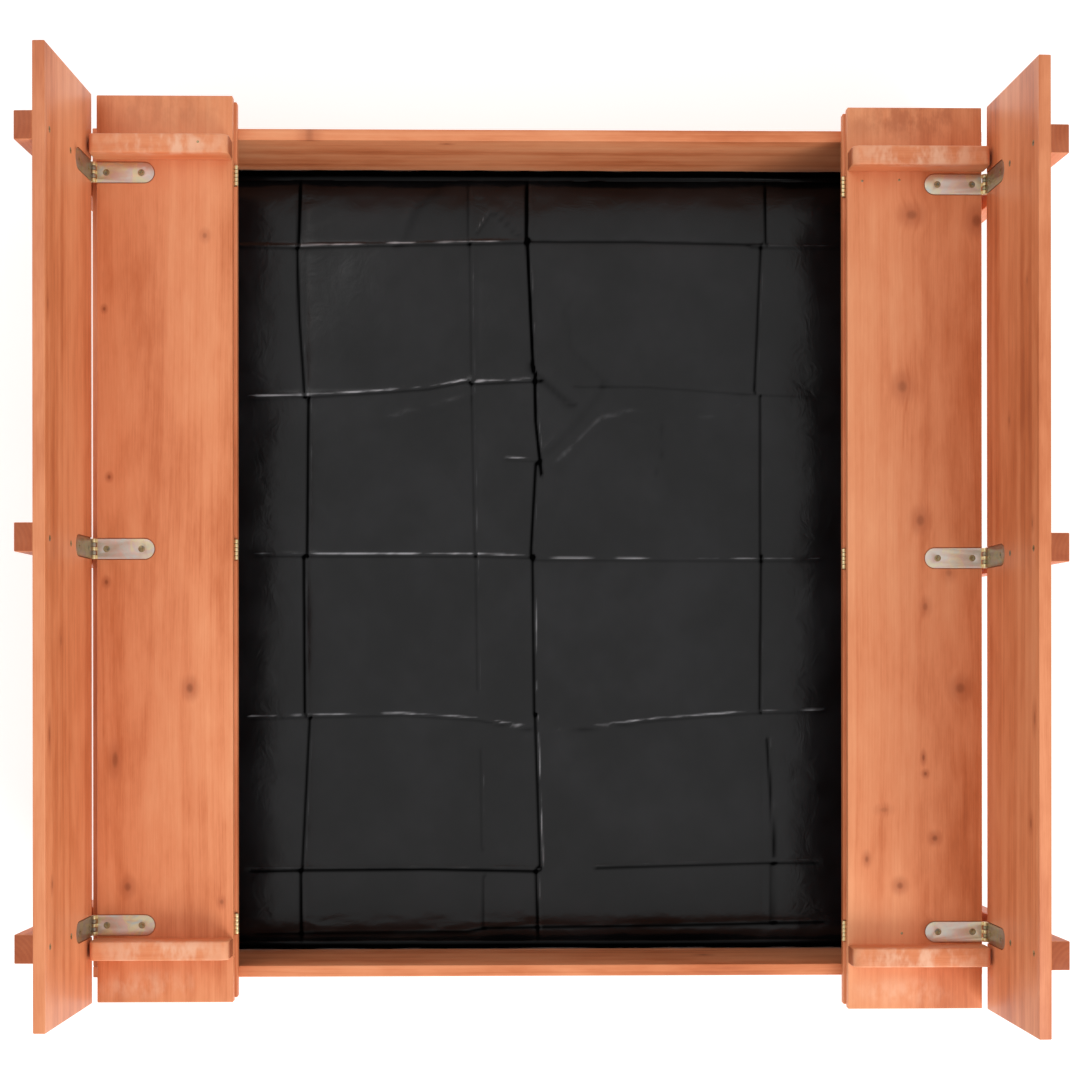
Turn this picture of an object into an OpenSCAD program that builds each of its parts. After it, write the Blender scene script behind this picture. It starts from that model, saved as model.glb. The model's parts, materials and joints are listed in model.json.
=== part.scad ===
// Wooden sandbox with a two-part folding cover. Each half of the cover is three boards
// in a row: a bench board fixed on the box, a seat board hinged to it and a backrest
// board hinged to the seat board. It is drawn open, as two benches with backrests.
// Millimetres. X runs across both benches, +Y points to the rear and +Z points up.
// The origin is on the ground in the middle of the whole object.

/* [Sand box] */
// Outside width over the two side boards
box_w = 946; // [820:1:1180]
// Outside depth over the front and rear rails
box_d = 900; // [740:1:1100]
// Height of the four walls
wall_h = 138; // [112:1:180]
// Thickness of the four walls
wall_t = 12; // [10:0.5:18]
// Corner block size along X
block_w = 30; // [20:1:45]
// Corner block size along Y
block_d = 20; // [18:1:30]
// How far the walls sit behind the middle of the cover
box_shift = 2.2; // [0:0.1:5]
// How far the walls sit to the left of the middle of the cover
box_side_shift = 1.6; // [0:0.1:4]

/* [Ground liner] */
// Thickness of the liner sheet
liner_t = 2; // [1:0.5:3]
// Height of the liner's turned-up edge
lip_h = 22; // [12:1:40]
// Gap between the liner and the walls
liner_gap = 0.4; // [0.2:0.1:2]

/* [Cover boards] */
// How far the seat and backrest boards reach past the rails
cover_overhang = 25; // [14:1:60]
// How much shorter the bench boards are at each end than the seat boards
bench_set_back = 3; // [0:0.5:8]
// Thickness of the bench, seat and backrest boards
cover_t = 12; // [10:0.1:18]
// Width of a seat board
seat_w = 142; // [118:0.1:172]
// How far a bench's outer edge sits inside the side board's outer face
bench_inset = 8; // [6:0.5:12]
// Front-to-back offset between the left and right halves
stagger = 9.6; // [0:0.1:12]
// Gap between faces that fold onto each other
fold_gap = 0.3; // [0.2:0.1:1]
// Gap between the closed cover and the rails
rest_gap = 0.3; // [0.2:0.1:1]
// Gap between the two backrest boards when closed
centre_gap = 4; // [2:0.5:10]
// Gap between a bench board and its seat board when closed
closed_gap = 0.8; // [0.5:0.1:3]

/* [Hinges] */
// Gap between an end hinge's leaf and the cleat beside it
hinge_cleat_gap = 2.5; // [1.5:0.5:40]
// Leaf width along the pin
leaf_w = 21; // [18:0.5:26]
// Leaf length from the pin
leaf_len = 63; // [52:0.5:66]
// Leaf thickness
leaf_t = 1.6; // [1.2:0.1:2]
// Barrel diameter
barrel_d = 5.2; // [4.4:0.01:6.3]
// Pin diameter
pin_d = 2.6; // [2:0.1:3]
// Number of knuckles in a barrel
knuckles = 5; // [3:2:7]
// Gap between neighbouring knuckles
knuckle_gap = 0.5; // [0.2:0.1:0.5]
// Radial clearance round the pin
pin_fit = 0.05; // [0.02:0.01:0.1]
// Clearance round a barrel in a board's edge
barrel_gap = 0.5; // [0.3:0.1:1]
// Clearance round a leaf in its pocket
pocket_gap = 1.0; // [0.3:0.1:1.2]
// Depth of a leaf's face below the wood
leaf_recess = 0.1; // [0:0.1:0.4]
// Seat edge to the inner pin
inner_pin_gap = 1.8; // [1.5:0.1:3]
// Seat or backrest edge to the outer pin
outer_pin_gap = 2.8; // [2.6:0.1:4.5]
// Height of the outer pin above the seat's face
outer_pin_rise = 1.2; // [0.8:0.1:1.6]
// Pin to the nearer leaf screw
leaf_screw_near = 13; // [10:0.5:18]
// Pin to the farther leaf screw
leaf_screw_far = 49.5; // [40:0.5:52]

/* [Battens and cleats] */
// Backrest batten width along Y
batten_w = 28; // [24:1:36]
// Backrest batten thickness
batten_t = 18; // [15:0.5:24]
// Closed batten end to the inner hinge barrel
batten_hinge_gap = 4.4; // [3:0.1:20]
// Smallest gap between a batten and the ground
batten_ground_gap = 12; // [5:1:30]
// Gap between an open batten and the side board
stop_gap = 0.3; // [0.2:0.1:1]
// Cleat width along Y
cleat_w = 20; // [16:1:26]
// Cleat height
cleat_h = 30; // [24:1:40]
// Smallest gap between a cleat and a rail's inside face
cleat_rail_gap = 4; // [1:0.5:80]
// How far a cleat reaches past the seat's outer edge
cleat_overhang = 2.5; // [0:0.1:3]
// Radius of a cleat's inner top corner
cleat_round_in = 10; // [4:1:14]
// Radius of a cleat's outer top corner
cleat_round_out = 6; // [3:1:14]

/* [Screws] */
// Head diameter of the hinge screws
hinge_head_d = 7; // [6:0.1:8]
// Shank diameter of the hinge screws
hinge_shank_d = 3.4; // [3:0.1:4]
// Length of the hinge screws
hinge_screw_len = 9; // [7:0.5:9.5]
// Head diameter of the wood screws
wood_head_d = 6.4; // [6:0.1:8]
// Shank diameter of the wood screws
wood_shank_d = 3.4; // [3:0.1:4]
// Length of the wood screws
wood_screw_len = 26; // [22:0.5:27]
// Clearance round every screw
screw_fit = 0.05; // [0.02:0.01:0.2]
// Backrest's lower edge to the lower batten screw
batten_screw_low = 79; // [68:1:90]
// Backrest's top edge to the upper batten screw
batten_screw_top = 17; // [12:1:30]
// Seat's edges to the cleat screws
cleat_screw_inset = 30; // [20:1:40]
// Depths below the walls' top edge of the screws that hold the rails
rail_screw_drop = [48, 84]; // [40:1:86]
// Depths below the walls' top edge of the screws that hold the side boards
side_screw_drop = [30, 66]; // [26:1:86]
// Bench's inner edge to its two rows of rail screws
bench_screw_x = [32, 88]; // [20:1:100]

/* [Hidden] */
$fn = 48;

LEFT = -1;
RIGHT = 1;
FRONT = -1;
REAR = 1;
MIDDLE = 0;
ENDS = [FRONT, REAR];
HINGES = [FRONT, MIDDLE, REAR];
SLACK = 1; // cutters run this far past the face that they cut

// Levels, from the ground up
bench_top = wall_h + cover_t;
seat_z = bench_top + fold_gap;
seat_top = seat_z + cover_t;
inner_pin_z = bench_top + (fold_gap + rest_gap) / 2;
outer_pin_z = seat_top + outer_pin_rise;

// Places across the right-hand side
bench_out = box_w / 2 - bench_inset;
seat_in = bench_out - seat_w;
inner_pin_x = seat_in - inner_pin_gap;
bench_in = inner_pin_x - (inner_pin_gap - closed_gap);
outer_pin_x = bench_out + outer_pin_gap;
pin_span = outer_pin_x - inner_pin_x;

// Closed, the backrest board fills what the seat board leaves of half the box
back_w = inner_pin_x - pin_span - outer_pin_gap - centre_gap / 2;
back_top = outer_pin_gap + back_w;

// A batten's lower end rests on the left side board, which sets the backrests' lean
barrel_r = barrel_d / 2;
batten_tail = min(pin_span - barrel_r - batten_hinge_gap, outer_pin_z - batten_ground_gap);
tail_face = outer_pin_rise + cover_t + fold_gap;
stop_x = stop_gap + bench_inset + box_side_shift - outer_pin_gap;
lean = acos(stop_x / norm([tail_face, batten_tail])) - atan2(batten_tail, tail_face);

// Inside faces of the box
inner_w = box_w - 2 * wall_t;
inner_d = box_d - 2 * wall_t;
block_z = lip_h + liner_gap;
block_x = inner_w / 2 - block_w / 2;
block_y = inner_d / 2 - block_d / 2;

// The middle of the walls, off the middle of the cover
box_mid = [-box_side_shift, box_shift, 0];

// Places along the cover: the cleats hang just inside the rails, the end hinges beside them
cover_len = box_d + 2 * cover_overhang;
bench_len = cover_len - 2 * bench_set_back;
cleat_pos = inner_d / 2 - box_shift - stagger / 2 - cleat_rail_gap - cleat_w / 2;
hinge_pos = cleat_pos - cleat_w / 2 - hinge_cleat_gap - leaf_w / 2;

knuckle_pitch = leaf_w / knuckles;
pocket_depth = leaf_t + leaf_recess;

WOOD = "#c9794f";
WOOD_EDGE = "#d98a5c";
STEEL = "#d9c58a";
LINER = "#1c1c1e";

// ---- frames ----

module on_side(side) {
    translate([0, -side * stagger / 2, 0])
        mirror([side < 0 ? 1 : 0, 0, 0])
            children();
}

// Each end hinge and the middle one, at the inner or the outer pin
module at_inner_pins() {
    for (place = HINGES)
        translate([inner_pin_x, place * hinge_pos, inner_pin_z])
            children();
}

module at_outer_pins() {
    for (place = HINGES)
        translate([outer_pin_x, place * hinge_pos, outer_pin_z])
            children();
}

// In this frame +X runs up the backrest from the outer pin, and +Z looks at the sand
module backrest_frame() {
    translate([outer_pin_x, 0, outer_pin_z])
        rotate([0, lean - 90, 0])
            children();
}

// The rails and the corner blocks as seen from one side's own frame
function rail_y(side, end) = end * (box_d - wall_t) / 2 + box_shift + side * stagger / 2;
function block_line(side, end) = end * block_y + box_shift + side * stagger / 2;
function block_from_middle(side) = block_x - side * box_side_shift;

// ---- screws: the head's top is at the origin and the point is below it ----

module screw_form(head_r, shank_r, length, grow = 0) {
    head_h = head_r - shank_r;
    tip_h = 2 * shank_r;
    translate([0, 0, -head_h])
        cylinder(h = head_h, r1 = shank_r + grow, r2 = head_r + grow);
    translate([0, 0, tip_h - length])
        cylinder(h = length - tip_h - head_h + grow, r = shank_r + grow);
    translate([0, 0, -length])
        cylinder(h = tip_h, r1 = shank_r / 4 + grow, r2 = shank_r + grow);
}

module screw(head_d, shank_d, length) {
    slot_w = head_d / 7;
    slot_l = head_d * 0.55;
    slot_h = head_d / 5;
    difference() {
        screw_form(head_d / 2, shank_d / 2, length);
        translate([-slot_l / 2, -slot_w / 2, -slot_h])
            cube([slot_l, slot_w, slot_h + SLACK]);
        translate([-slot_w / 2, -slot_l / 2, -slot_h])
            cube([slot_w, slot_l, slot_h + SLACK]);
    }
}

module screw_hole(head_d, shank_d, length) {
    screw_form(head_d / 2, shank_d / 2, length + screw_fit, screw_fit);
    cylinder(h = SLACK, r = head_d / 2 + screw_fit);
}

module wood_screw() {
    screw(wood_head_d, wood_shank_d, wood_screw_len);
}

module wood_screw_hole() {
    screw_hole(wood_head_d, wood_shank_d, wood_screw_len);
}

// ---- hinges: the pin lies along Y and the leaf runs towards +X with its face up ----

module leaf_outline(grow = 0) {
    translate([0, -leaf_w / 2 - grow])
        square([leaf_len - leaf_w / 2, leaf_w + 2 * grow]);
    translate([leaf_len - leaf_w / 2, 0])
        circle(r = leaf_w / 2 + grow);
}

module at_leaf_screws(rise) {
    for (x = [leaf_screw_near, leaf_screw_far])
        translate([x, 0, -rise - leaf_recess])
            children();
}

// A leaf with every second knuckle, from the first one or from the second one
module leaf(rise, first) {
    difference() {
        union() {
            translate([0, 0, -rise - pocket_depth])
                linear_extrude(leaf_t)
                    leaf_outline();
            translate([0, leaf_w / 2, 0])
                rotate([90, 0, 0])
                    cylinder(h = leaf_w, r = barrel_r);
        }
        for (i = [0 : knuckles - 1])
            if (i % 2 != first)
                translate([0, -leaf_w / 2 + i * knuckle_pitch, 0])
                    knuckle_slot(i);
        translate([0, leaf_w / 2 + SLACK, 0])
            rotate([90, 0, 0])
                cylinder(h = leaf_w + 2 * SLACK, r = pin_d / 2 + pin_fit);
        at_leaf_screws(rise)
            screw_hole(hinge_head_d, hinge_shank_d, hinge_screw_len);
    }
}

// The space that the other leaf's knuckle needs; end knuckles run past the leaf's end
module knuckle_slot(i) {
    reach = barrel_r + knuckle_gap;
    before = i == 0 ? SLACK : knuckle_gap / 2;
    after = i == knuckles - 1 ? SLACK : knuckle_gap / 2;
    translate([-reach, -before, -reach])
        cube([2 * reach, knuckle_pitch + before + after, 2 * reach]);
}

// What a leaf, its barrel and its screws take out of a board's face
module leaf_pocket(rise) {
    translate([0, 0, -rise - pocket_depth])
        linear_extrude(pocket_depth + SLACK)
            leaf_outline(pocket_gap);
    translate([0, leaf_w / 2 + pocket_gap, 0])
        rotate([90, 0, 0])
            cylinder(h = leaf_w + 2 * pocket_gap, r = barrel_r + barrel_gap);
    at_leaf_screws(rise)
        screw_hole(hinge_head_d, hinge_shank_d, hinge_screw_len);
}

module leaf_screws(rise) {
    at_leaf_screws(rise)
        screw(hinge_head_d, hinge_shank_d, hinge_screw_len);
}

module hinge_pin() {
    translate([0, leaf_w / 2, 0])
        rotate([90, 0, 0])
            cylinder(h = leaf_w, r = pin_d / 2);
}

// Faces of the boards as seen from the pins
bench_rise = inner_pin_z - bench_top;
seat_under_rise = seat_z - inner_pin_z;

// ---- box ----

// The head of a wall screw faces outwards, along +X here
module at_side_screws(side, end) {
    for (drop = side_screw_drop)
        translate(box_mid + [side * box_w / 2, end * block_y, wall_h - drop])
            rotate([0, side * 90, 0])
                children();
}

module at_rail_screws(side, end) {
    for (drop = rail_screw_drop)
        translate(box_mid + [side * block_x, end * box_d / 2, wall_h - drop])
            rotate([-end * 90, 0, 0])
                children();
}

// Screws through a bench board into the rails and the corner blocks, in the side's frame
module at_bench_screws(side) {
    for (end = ENDS) {
        for (x = bench_screw_x)
            translate([bench_in + x, rail_y(side, end), bench_top])
                children();
        translate([block_from_middle(side), block_line(side, end), bench_top])
            children();
    }
}

module bench_screw_holes() {
    for (side = [LEFT, RIGHT])
        on_side(side)
            at_bench_screws(side)
                wood_screw_hole();
}

module rail(end) {
    color(WOOD_EDGE)
        difference() {
            translate(box_mid + [-box_w / 2, end * (box_d - wall_t) / 2 - wall_t / 2, 0])
                cube([box_w, wall_t, wall_h]);
            for (side = [LEFT, RIGHT])
                at_rail_screws(side, end)
                    wood_screw_hole();
            bench_screw_holes();
        }
}

module side_board(side) {
    color(WOOD_EDGE)
        difference() {
            translate(box_mid + [side * (box_w - wall_t) / 2 - wall_t / 2, -inner_d / 2, 0])
                cube([wall_t, inner_d, wall_h]);
            for (end = ENDS)
                at_side_screws(side, end)
                    wood_screw_hole();
        }
}

module corner_block(side, end) {
    color(WOOD)
        difference() {
            translate(box_mid + [side * block_x - block_w / 2, end * block_y - block_d / 2, block_z])
                cube([block_w, block_d, wall_h - block_z]);
            at_side_screws(side, end)
                wood_screw_hole();
            at_rail_screws(side, end)
                wood_screw_hole();
            bench_screw_holes();
        }
}

module wall_screws() {
    color(STEEL)
        for (side = [LEFT, RIGHT])
            for (end = ENDS) {
                at_side_screws(side, end)
                    wood_screw();
                at_rail_screws(side, end)
                    wood_screw();
            }
}

module ground_liner() {
    liner_w = inner_w - 2 * liner_gap;
    liner_d = inner_d - 2 * liner_gap;
    color(LINER)
        difference() {
            translate(box_mid + [-liner_w / 2, -liner_d / 2, 0])
                cube([liner_w, liner_d, lip_h]);
            translate(box_mid + [liner_t - liner_w / 2, liner_t - liner_d / 2, liner_t])
                cube([liner_w - 2 * liner_t, liner_d - 2 * liner_t, lip_h]);
        }
}

// ---- bench ----

module bench_board(side) {
    color(WOOD)
        on_side(side)
            difference() {
                translate([bench_in, -bench_len / 2, wall_h])
                    cube([bench_out - bench_in, bench_len, cover_t]);
                at_inner_pins()
                    leaf_pocket(bench_rise);
                at_bench_screws(side)
                    wood_screw_hole();
            }
}

module bench_leaves(side) {
    color(STEEL)
        on_side(side)
            at_inner_pins()
                leaf(bench_rise, 0);
}

module bench_leaf_screws(side) {
    color(STEEL)
        on_side(side)
            at_inner_pins()
                leaf_screws(bench_rise);
}

module bench_screws(side) {
    color(STEEL)
        on_side(side)
            at_bench_screws(side)
                wood_screw();
}

// ---- seat ----

// Screws from under the seat board into the cleats
module at_cleat_screws(end) {
    for (x = [seat_in + cleat_screw_inset, bench_out - cleat_screw_inset])
        translate([x, end * cleat_pos, seat_z])
            rotate([180, 0, 0])
                children();
}

module seat_board(side) {
    color(WOOD)
        on_side(side)
            difference() {
                translate([seat_in, -cover_len / 2, seat_z])
                    cube([seat_w, cover_len, cover_t]);
                at_inner_pins()
                    mirror([0, 0, 1])
                        leaf_pocket(seat_under_rise);
                at_outer_pins()
                    mirror([1, 0, 0])
                        leaf_pocket(outer_pin_rise);
                for (end = ENDS)
                    at_cleat_screws(end)
                        wood_screw_hole();
            }
}

// A cleat from the front, with its two top corners rounded
module cleat_outline() {
    cleat_l = seat_w + cleat_overhang;
    square([cleat_l, cleat_h - max(cleat_round_in, cleat_round_out)]);
    translate([cleat_round_in, 0])
        square([cleat_l - cleat_round_in - cleat_round_out, cleat_h]);
    translate([cleat_round_in, cleat_h - cleat_round_in])
        circle(r = cleat_round_in);
    translate([cleat_l / 2, 0])
        square([cleat_l / 2, cleat_h - cleat_round_out]);
    translate([cleat_l - cleat_round_out, cleat_h - cleat_round_out])
        circle(r = cleat_round_out);
}

module cleat(side, end) {
    color(WOOD_EDGE)
        on_side(side)
            difference() {
                translate([seat_in, end * cleat_pos + cleat_w / 2, seat_top])
                    rotate([90, 0, 0])
                        linear_extrude(cleat_w)
                            cleat_outline();
                at_cleat_screws(end)
                    wood_screw_hole();
            }
}

module cleat_screws(side) {
    color(STEEL)
        on_side(side)
            for (end = ENDS)
                at_cleat_screws(end)
                    wood_screw();
}

module seat_inner_leaves(side) {
    color(STEEL)
        on_side(side)
            at_inner_pins()
                mirror([0, 0, 1])
                    leaf(seat_under_rise, 1);
}

module seat_outer_leaves(side) {
    color(STEEL)
        on_side(side)
            at_outer_pins()
                mirror([1, 0, 0])
                    leaf(outer_pin_rise, 0);
}

module seat_leaf_screws(side) {
    color(STEEL)
        on_side(side) {
            at_inner_pins()
                mirror([0, 0, 1])
                    leaf_screws(seat_under_rise);
            at_outer_pins()
                mirror([1, 0, 0])
                    leaf_screws(outer_pin_rise);
        }
}

module inner_pins(side) {
    color(STEEL)
        on_side(side)
            at_inner_pins()
                hinge_pin();
}

// ---- backrest ----

module at_batten_screws(place) {
    for (x = [outer_pin_gap + batten_screw_low, back_top - batten_screw_top])
        translate([x, place * hinge_pos, -outer_pin_rise])
            children();
}

module at_backrest_hinges() {
    for (place = HINGES)
        translate([0, place * hinge_pos, 0])
            children();
}

module backrest_board(side) {
    color(WOOD)
        on_side(side)
            backrest_frame()
                difference() {
                    translate([outer_pin_gap, -cover_len / 2, -outer_pin_rise - cover_t])
                        cube([back_w, cover_len, cover_t]);
                    at_backrest_hinges()
                        leaf_pocket(outer_pin_rise);
                    for (place = HINGES)
                        at_batten_screws(place)
                            wood_screw_hole();
                }
}

module batten(side, place) {
    back_z = -outer_pin_rise - cover_t;
    color(WOOD_EDGE)
        on_side(side)
            backrest_frame()
                difference() {
                    translate([-batten_tail, place * hinge_pos - batten_w / 2, back_z - batten_t])
                        cube([batten_tail + back_top, batten_w, batten_t]);
                    translate([
                        -batten_tail - SLACK,
                        place * hinge_pos - batten_w / 2 - SLACK,
                        back_z - fold_gap
                    ])
                        cube([batten_tail + outer_pin_gap + SLACK, batten_w + 2 * SLACK, SLACK]);
                    at_batten_screws(place)
                        wood_screw_hole();
                }
}

module batten_screws(side) {
    color(STEEL)
        on_side(side)
            backrest_frame()
                for (place = HINGES)
                    at_batten_screws(place)
                        wood_screw();
}

module backrest_leaves(side) {
    color(STEEL)
        on_side(side)
            backrest_frame()
                at_backrest_hinges()
                    leaf(outer_pin_rise, 1);
}

module backrest_leaf_screws(side) {
    color(STEEL)
        on_side(side)
            backrest_frame()
                at_backrest_hinges()
                    leaf_screws(outer_pin_rise);
}

module outer_pins(side) {
    color(STEEL)
        on_side(side)
            at_outer_pins()
                hinge_pin();
}

// ---- nodes ----

rail(FRONT);  // front_rail
rail(REAR);  // rear_rail
side_board(LEFT);  // left_side_board
side_board(RIGHT);  // right_side_board
corner_block(LEFT, FRONT);  // front_left_block
corner_block(RIGHT, FRONT);  // front_right_block
corner_block(LEFT, REAR);  // rear_left_block
corner_block(RIGHT, REAR);  // rear_right_block
ground_liner();
wall_screws();
bench_board(LEFT);  // left_bench_board
bench_leaves(LEFT);  // left_bench_leaves
bench_leaf_screws(LEFT);  // left_bench_leaf_screws
bench_screws(LEFT);  // left_bench_screws
bench_board(RIGHT);  // right_bench_board
bench_leaves(RIGHT);  // right_bench_leaves
bench_leaf_screws(RIGHT);  // right_bench_leaf_screws
bench_screws(RIGHT);  // right_bench_screws
seat_board(LEFT);  // left_seat_board
cleat(LEFT, FRONT);  // left_front_cleat
cleat(LEFT, REAR);  // left_rear_cleat
cleat_screws(LEFT);  // left_cleat_screws
seat_inner_leaves(LEFT);  // left_seat_inner_leaves
seat_outer_leaves(LEFT);  // left_seat_outer_leaves
seat_leaf_screws(LEFT);  // left_seat_leaf_screws
inner_pins(LEFT);  // left_inner_pins
seat_board(RIGHT);  // right_seat_board
cleat(RIGHT, FRONT);  // right_front_cleat
cleat(RIGHT, REAR);  // right_rear_cleat
cleat_screws(RIGHT);  // right_cleat_screws
seat_inner_leaves(RIGHT);  // right_seat_inner_leaves
seat_outer_leaves(RIGHT);  // right_seat_outer_leaves
seat_leaf_screws(RIGHT);  // right_seat_leaf_screws
inner_pins(RIGHT);  // right_inner_pins
backrest_board(LEFT);  // left_backrest_board
batten(LEFT, FRONT);  // left_front_batten
batten(LEFT, MIDDLE);  // left_middle_batten
batten(LEFT, REAR);  // left_rear_batten
batten_screws(LEFT);  // left_batten_screws
backrest_leaves(LEFT);  // left_backrest_leaves
backrest_leaf_screws(LEFT);  // left_backrest_leaf_screws
outer_pins(LEFT);  // left_outer_pins
backrest_board(RIGHT);  // right_backrest_board
batten(RIGHT, FRONT);  // right_front_batten
batten(RIGHT, MIDDLE);  // right_middle_batten
batten(RIGHT, REAR);  // right_rear_batten
batten_screws(RIGHT);  // right_batten_screws
backrest_leaves(RIGHT);  // right_backrest_leaves
backrest_leaf_screws(RIGHT);  // right_backrest_leaf_screws
outer_pins(RIGHT);  // right_outer_pins
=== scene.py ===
"""Looks of a wooden sandbox with a two-part folding cover, open as two benches."""
import json
import math

import bmesh
import bpy
import numpy as np
from mathutils import Matrix, Vector, noise


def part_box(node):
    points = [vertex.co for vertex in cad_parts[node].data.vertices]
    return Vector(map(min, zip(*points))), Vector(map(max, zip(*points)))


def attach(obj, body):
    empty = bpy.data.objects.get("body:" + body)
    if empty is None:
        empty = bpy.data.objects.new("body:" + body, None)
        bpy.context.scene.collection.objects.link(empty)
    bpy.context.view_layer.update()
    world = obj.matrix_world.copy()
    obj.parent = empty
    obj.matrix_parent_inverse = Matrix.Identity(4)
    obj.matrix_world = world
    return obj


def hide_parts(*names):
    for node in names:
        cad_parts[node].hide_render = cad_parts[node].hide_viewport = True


MM = 0.001
SIDES = {"left": -1, "right": 1}

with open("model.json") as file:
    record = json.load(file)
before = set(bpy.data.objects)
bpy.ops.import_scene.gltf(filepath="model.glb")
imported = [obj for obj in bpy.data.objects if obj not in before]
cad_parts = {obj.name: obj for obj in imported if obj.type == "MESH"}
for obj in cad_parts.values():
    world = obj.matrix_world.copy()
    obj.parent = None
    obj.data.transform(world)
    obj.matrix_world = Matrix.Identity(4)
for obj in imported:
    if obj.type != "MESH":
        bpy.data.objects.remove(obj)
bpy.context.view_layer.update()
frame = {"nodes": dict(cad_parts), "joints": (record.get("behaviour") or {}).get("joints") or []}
nodes = frame["nodes"]
joints = {joint["name"]: joint for joint in frame["joints"]}


def pin_of(side, fold):
    """A point on the pin line of one of a side's two folds, seat or backrest."""
    return Vector(joints[f"{side}_{fold}_fold"]["pos_m"])


def lean_of(side):
    """How far a backrest leans outwards, in radians, read from its middle batten's long edges."""
    mesh = nodes[f"{side}_middle_batten"].data
    spans = [mesh.vertices[e.vertices[1]].co - mesh.vertices[e.vertices[0]].co for e in mesh.edges]
    longest = max((span for span in spans if abs(span.y) < 1e-6), key=lambda span: span.length)
    return abs(math.atan2(longest.x, abs(longest.z)))


def srgb(r, g, b):
    """A colour given as 0 to 255 values, as linear RGBA."""
    def linear(c):
        c /= 255
        return c / 12.92 if c <= 0.04045 else ((c + 0.055) / 1.055) ** 2.4
    return (linear(r), linear(g), linear(b), 1.0)


def add_object(name, data):
    """A new object in the scene."""
    piece = bpy.data.objects.new(name, data)
    bpy.context.scene.collection.objects.link(piece)
    return piece


# ---------------------------------------------------------------- node trees

class Tree:
    """Short calls for building a node tree. A value is a number, a vector or a node's output."""

    def __init__(self, tree):
        self.tree = tree

    def fill(self, node, values):
        """Gives a node's inputs, known by name or number, their values."""
        for key, value in values.items():
            if isinstance(value, bpy.types.NodeSocket):
                self.tree.links.new(value, node.inputs[key])
            else:
                node.inputs[key].default_value = value

    def add(self, kind, values=None, **props):
        node = self.tree.nodes.new(kind)
        for key, value in props.items():
            setattr(node, key, value)
        self.fill(node, values or {})
        return node

    def place(self):
        """The point on the piece, in metres."""
        return self.add("ShaderNodeTexCoord").outputs["Object"]

    def math(self, operation, *values, clamp=False):
        values = dict(enumerate(values))
        return self.add("ShaderNodeMath", values, operation=operation, use_clamp=clamp).outputs[0]

    def vector(self, operation, *values):
        node = self.add("ShaderNodeVectorMath", dict(enumerate(values)), operation=operation)
        return node.outputs["Value" if operation in ("LENGTH", "DOT_PRODUCT") else 0]

    def noise(self, vector, scale, detail=2.0, rough=0.5, distortion=0.0):
        values = {"Vector": vector, "Scale": scale, "Detail": detail, "Roughness": rough,
                  "Distortion": distortion}
        return self.add("ShaderNodeTexNoise", values).outputs[0]

    def streaky_noise(self, vector, per_metre, detail=2.0, rough=0.5):
        """Noise with its own scale along each axis."""
        return self.noise(self.vector("MULTIPLY", vector, per_metre), 1.0, detail, rough)

    def span(self, value, low, high, to_low=0.0, to_high=1.0):
        """Takes low to to_low and high to to_high with a smooth step; low may be the larger one."""
        values = {0: value, 1: low, 2: high, 3: to_low, 4: to_high}
        return self.add("ShaderNodeMapRange", values, interpolation_type="SMOOTHSTEP").outputs[0]

    def mix(self, factor, first, second):
        return self.add("ShaderNodeMix", {0: factor, 6: first, 7: second}, data_type="RGBA").outputs[2]

    def ramp(self, value, stops):
        node = self.add("ShaderNodeValToRGB", {0: value})
        elements = node.color_ramp.elements
        while len(elements) < len(stops):
            elements.new(0.5)
        for element, (place, colour) in zip(elements, stops):
            element.position = place
            element.color = colour
        return node.outputs[0]

    def bump(self, height, strength, distance):
        values = {"Height": height, "Strength": strength, "Distance": distance}
        return self.add("ShaderNodeBump", values).outputs[0]


def new_material(name):
    """A material with its tree and its shader."""
    material = bpy.data.materials.new(name)
    material.use_nodes = True
    material.node_tree.nodes.clear()
    t = Tree(material.node_tree)
    shader = t.add("ShaderNodeBsdfPrincipled")
    t.add("ShaderNodeOutputMaterial", {0: shader.outputs[0]})
    return material, t, shader


def new_group(name, kind, inputs, outputs):
    """A node group with its tree, its source node and its sink node."""
    group = bpy.data.node_groups.new(name, kind)
    for in_out, sockets in (("INPUT", inputs), ("OUTPUT", outputs)):
        for socket, socket_kind in sockets.items():
            group.interface.new_socket(socket, in_out=in_out, socket_type=f"NodeSocket{socket_kind}")
    t = Tree(group)
    return group, t, t.add("NodeGroupInput"), t.add("NodeGroupOutput")


# ---------------------------------------------------------------- wood

WOOD_LIGHT = srgb(236, 160, 114)
WOOD_MID = srgb(224, 140, 94)
WOOD_DEEP = srgb(204, 116, 70)
WOOD_DARK = srgb(170, 86, 48)
KNOT = srgb(122, 56, 26)
END_GRAIN = srgb(148, 66, 34)
SCUFF = srgb(240, 192, 160)
RING_PITCH = 4.5 * MM
LATE_WOOD_TONE = -0.045  # the dark line at the end of each year's ring
END_STAIN = 0.72
ARRIS_WEAR_AND_HIGHLIGHT = 0.5


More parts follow.
